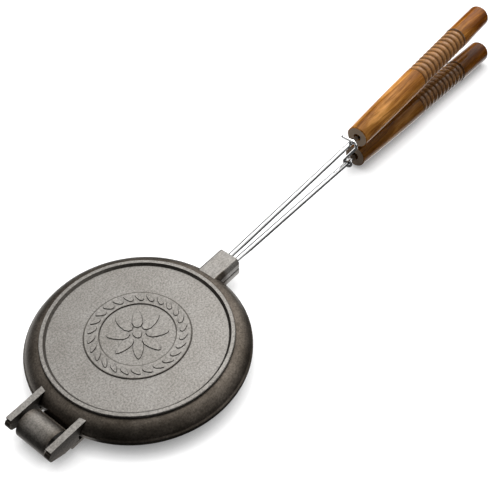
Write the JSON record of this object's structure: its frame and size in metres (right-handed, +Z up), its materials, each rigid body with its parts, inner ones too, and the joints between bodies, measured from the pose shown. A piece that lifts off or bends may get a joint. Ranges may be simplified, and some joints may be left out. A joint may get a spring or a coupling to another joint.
{
  "type": "campfire waffle iron",
  "caption": "Round campfire waffle iron: hinged cast plates with pegged cooking faces, long steel rods, turned wooden handles and a swinging wire latch.",
  "frame": {"origin": "centre of the flat ring under the lower plate, which the closed iron rests on", "axes": "+X from the plates to the handles, +Z up through both plates, Y across"},
  "size_m": [0.6835, 0.184, 0.0685],
  "materials": {
    "cast_iron": "bare sand-cast grey",
    "plated_steel": "bright plated wire and rod",
    "turned_wood": "stained and varnished"
  },
  "bodies": {
    "bottom_half": {"bottom_plate": "cast_iron", "bottom_rod": "plated_steel", "bottom_handle": "turned_wood"},
    "top_half": {"top_plate": "cast_iron", "top_rod": "plated_steel", "top_handle": "turned_wood"},
    "latch": {"latch_hook": "plated_steel"}
  },
  "joints": [
    {"name": "plate_hinge", "type": "hinge", "parent": "bottom_half", "child": "top_half", "pos_m": [-0.105, 0, 0.0126], "axis": [0, -1, 0], "range_deg": [0, 125]},
    {"name": "latch_swing", "type": "hinge", "parent": "bottom_half", "child": "latch", "pos_m": [0.29881, 0, 0.00293], "axis": [0.9995, 0, -0.0305], "range_deg": [-7, 180]}
  ]
}
